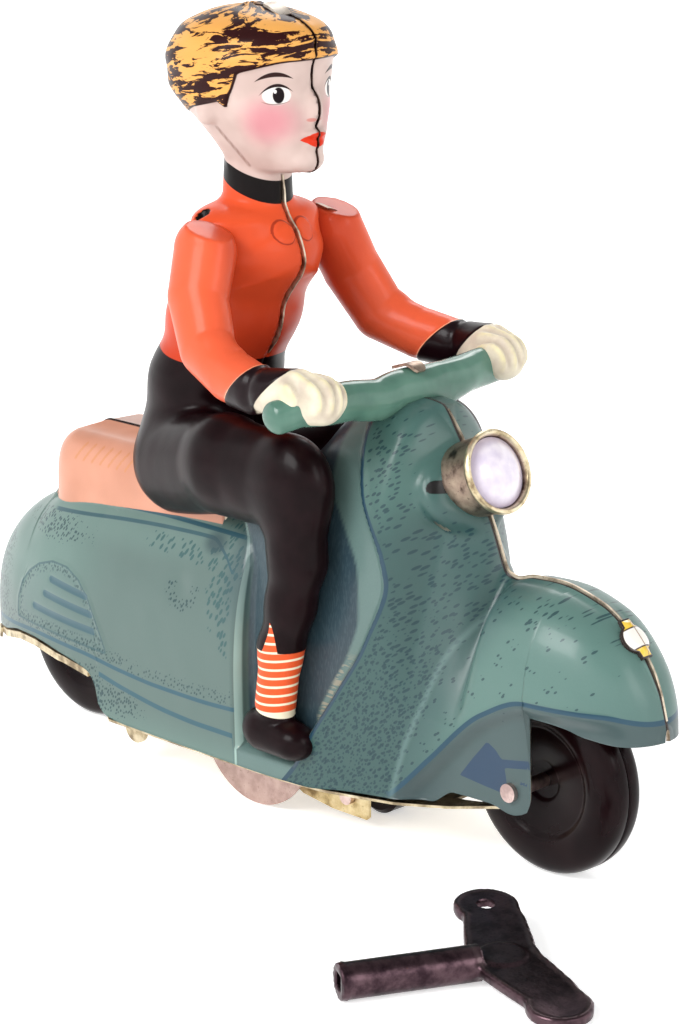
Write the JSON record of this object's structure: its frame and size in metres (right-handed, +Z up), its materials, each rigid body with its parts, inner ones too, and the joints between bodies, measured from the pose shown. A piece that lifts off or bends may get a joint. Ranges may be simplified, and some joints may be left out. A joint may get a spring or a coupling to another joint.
{
  "type": "wind-up toy motorcycle",
  "caption": "Tin clockwork scooter with a seated doll rider, stabiliser discs, a pilot wheel and a separate winding key.",
  "frame": {"origin": "on the ground the toy stands on, on its centre plane, midway between the two axles", "axes": "+X towards the front wheel, +Y towards the rider's left, +Z up"},
  "size_m": [0.1999, 0.0982, 0.1478],
  "materials": {
    "body_paint": "gloss lacquer over printed tin",
    "rider_paint": "gloss lacquer over printed tin",
    "bar_paint": "gloss lacquer",
    "trim_paint": "gloss lacquer",
    "bare_tin": "aged bare tin plate",
    "gold_tin": "gold lacquered tin plate",
    "lens": "pearl",
    "wheel_black": "gloss black-brown lacquer",
    "pink_steel": "bright washed steel",
    "steel": "turned steel",
    "brass": "stamped brass",
    "spring_steel": "blued spring steel",
    "plate_steel": "tinned plate",
    "key_steel": "dark burnished steel"
  },
  "bodies": {
    "chassis": {"body_shell_right": "body_paint", "body_shell_left": "body_paint", "base_plate": "bare_tin", "mudguard_crest": "trim_paint", "headlamp_cup": "bare_tin", "headlamp_lens": "lens", "handlebar": "bar_paint", "handlebar_clip": "bare_tin", "rider_right_half": "rider_paint", "rider_left_half": "rider_paint", "right_arm": "rider_paint", "left_arm": "rider_paint", "front_axle": "pink_steel", "motor_plate_right": "plate_steel", "motor_plate_left": "plate_steel", "motor_pillars": "steel", "mainspring": "spring_steel", "winding_eyelet": "brass", "pilot_rivet": "steel", "stop_lever_pin": "steel"},
    "front_wheel": {"front_wheel_right_half": "wheel_black", "front_wheel_left_half": "wheel_black"},
    "rear_wheel": {"rear_wheel_right_half": "wheel_black", "rear_wheel_left_half": "wheel_black", "rear_axle": "steel", "axle_pinion": "brass"},
    "second_shaft": {"second_wheel": "brass", "second_pinion": "brass", "second_arbor": "steel"},
    "great_wheel_body": {"great_wheel": "brass", "click_stud": "steel", "click_spring": "spring_steel"},
    "click_pawl": {"click": "steel"},
    "winding_shaft": {"winding_arbor": "steel", "ratchet_wheel": "steel"},
    "governor_shaft": {"governor_pinion": "brass", "governor_arbor": "steel", "governor_star": "brass"},
    "verge": {"governor_verge": "steel"},
    "stabilisers": {"stabiliser_disc_right": "pink_steel", "stabiliser_disc_left": "pink_steel", "stabiliser_axle": "steel"},
    "pilot_carriage": {"pilot_bracket": "gold_tin", "pilot_pin": "pink_steel"},
    "pilot_roller": {"pilot_wheel": "wheel_black"},
    "stop_arm": {"stop_lever": "bare_tin"},
    "key": {"winding_key": "key_steel"}
  },
  "joints": [
    {"name": "rear_wheel_spin", "type": "hinge", "parent": "chassis", "child": "rear_wheel", "pos_m": [-0.063, 0, 0.0175], "axis": [0, 1, 0], "continuous": true},
    {"name": "second_wheel_turn", "type": "hinge", "parent": "chassis", "child": "second_shaft", "pos_m": [-0.04504, 0, 0.03055], "axis": [0, 1, 0], "continuous": true},
    {"name": "great_wheel_turn", "type": "hinge", "parent": "chassis", "child": "great_wheel_body", "pos_m": [-0.02347, 0, 0.02942], "axis": [0, 1, 0], "continuous": true},
    {"name": "governor_turn", "type": "hinge", "parent": "chassis", "child": "governor_shaft", "pos_m": [-0.04129, 0, 0.05182], "axis": [0, 1, 0], "continuous": true},
    {"name": "winding_turn", "type": "hinge", "parent": "great_wheel_body", "child": "winding_shaft", "pos_m": [-0.02347, 0, 0.02942], "axis": [0, 1, 0], "continuous": true},
    {"name": "click_lift", "type": "hinge", "parent": "great_wheel_body", "child": "click_pawl", "pos_m": [-0.01807, 0, 0.03957], "axis": [0, 1, 0], "range_deg": [-12, 0]},
    {"name": "verge_rock", "type": "hinge", "parent": "chassis", "child": "verge", "pos_m": [-0.03229, 0, 0.05322], "axis": [0, 1, 0], "range_deg": [-6, 6]},
    {"name": "front_wheel_spin", "type": "hinge", "parent": "chassis", "child": "front_wheel", "pos_m": [0.063, 0, 0.0175], "axis": [0, 1, 0], "continuous": true},
    {"name": "stabiliser_spin", "type": "hinge", "parent": "chassis", "child": "stabilisers", "pos_m": [0, 0, 0.015], "axis": [0, 1, 0], "continuous": true},
    {"name": "pilot_swivel", "type": "hinge", "parent": "chassis", "child": "pilot_carriage", "pos_m": [0.008, 0, 0.0085], "axis": [0, 0, 1], "range_deg": [-10, 10]},
    {"name": "pilot_wheel_spin", "type": "hinge", "parent": "pilot_carriage", "child": "pilot_roller", "pos_m": [0.0205, 0, 0.00545], "axis": [0, 1, 0], "continuous": true},
    {"name": "stop_lever_swing", "type": "hinge", "parent": "chassis", "child": "stop_arm", "pos_m": [-0.0336, -0.0152, 0.0132], "axis": [0, 1, 0], "range_deg": [0, 20]},
    {"name": "key_lift", "type": "slide", "parent": "chassis", "child": "key", "axis": [0, 0, 1], "range_m": [0, 0.04]}
  ],
  "couplings": [
    {"joint": "second_wheel_turn", "follows": "rear_wheel_spin", "ratio": -0.19355},
    {"joint": "great_wheel_turn", "follows": "rear_wheel_spin", "ratio": 0.03871},
    {"joint": "governor_turn", "follows": "rear_wheel_spin", "ratio": 1.2}
  ]
}
